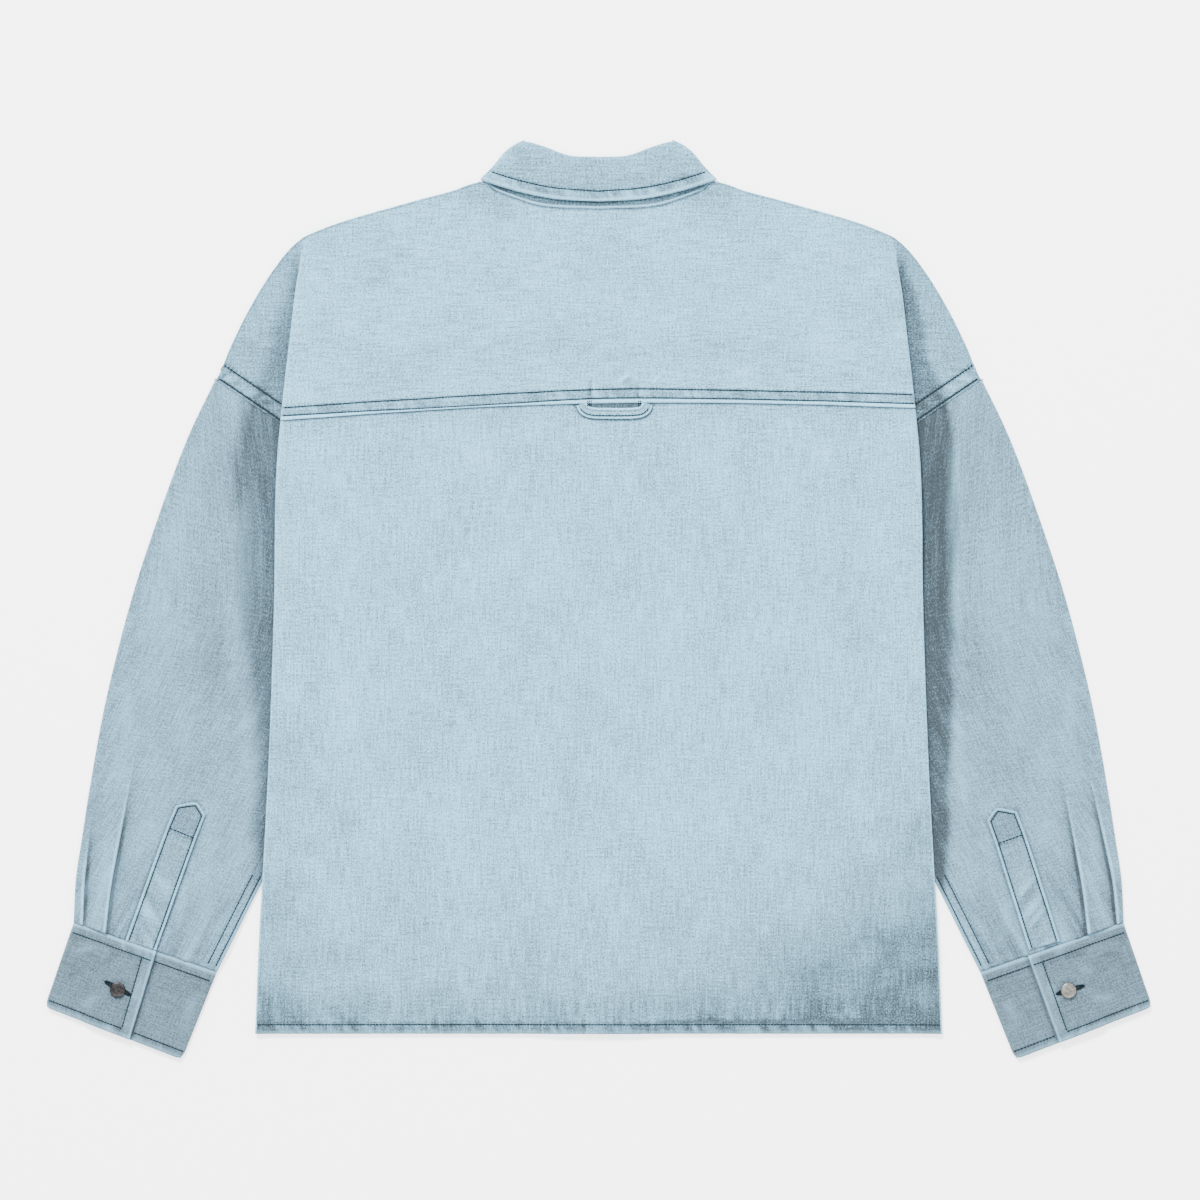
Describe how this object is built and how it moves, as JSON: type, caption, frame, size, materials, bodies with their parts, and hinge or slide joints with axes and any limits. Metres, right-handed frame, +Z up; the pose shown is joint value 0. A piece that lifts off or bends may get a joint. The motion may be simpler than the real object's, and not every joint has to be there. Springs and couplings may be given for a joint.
{
  "type": "denim shirt laid flat with its back up",
  "caption": "Oversized washed denim overshirt laid flat, back up: dropped shoulders, back yoke with hanger loop, folded collar, sleeves with plackets, buttoned cuffs.",
  "frame": {"origin": "centre of the bounding box at the surface that the shirt lies on", "axes": "+X across the back to the shirt's right as seen from above, +Y towards the collar, +Z up out of the back"},
  "size_m": [0.9358, 0.7768, 0.0108],
  "materials": {
    "denim_body": "light-wash cotton denim, matt, salt-and-pepper weave",
    "denim_sleeve": "light-wash cotton denim, matt, grain along the sleeve",
    "denim_trim": "light-wash cotton denim in two layers, darker at the seams",
    "button_metal": "dull antique silver shank button"
  },
  "bodies": {
    "root": {"back_yoke": "denim_body", "back_panel": "denim_body", "front_left": "denim_body", "front_right": "denim_body", "front_placket": "denim_trim", "sleeve_left": "denim_sleeve", "sleeve_right": "denim_sleeve", "cuff_left": "denim_trim", "cuff_right": "denim_trim", "sleeve_placket_left": "denim_sleeve", "sleeve_placket_right": "denim_sleeve", "collar_leaf": "denim_body", "collar_stand": "denim_trim", "hanger_loop": "denim_body", "cuff_button_left": "button_metal", "cuff_button_right": "button_metal", "stand_button": "button_metal", "front_button_1": "button_metal", "front_button_2": "button_metal", "front_button_3": "button_metal", "front_button_4": "button_metal", "front_button_5": "button_metal", "front_button_6": "button_metal"}
  },
  "joints": []
}
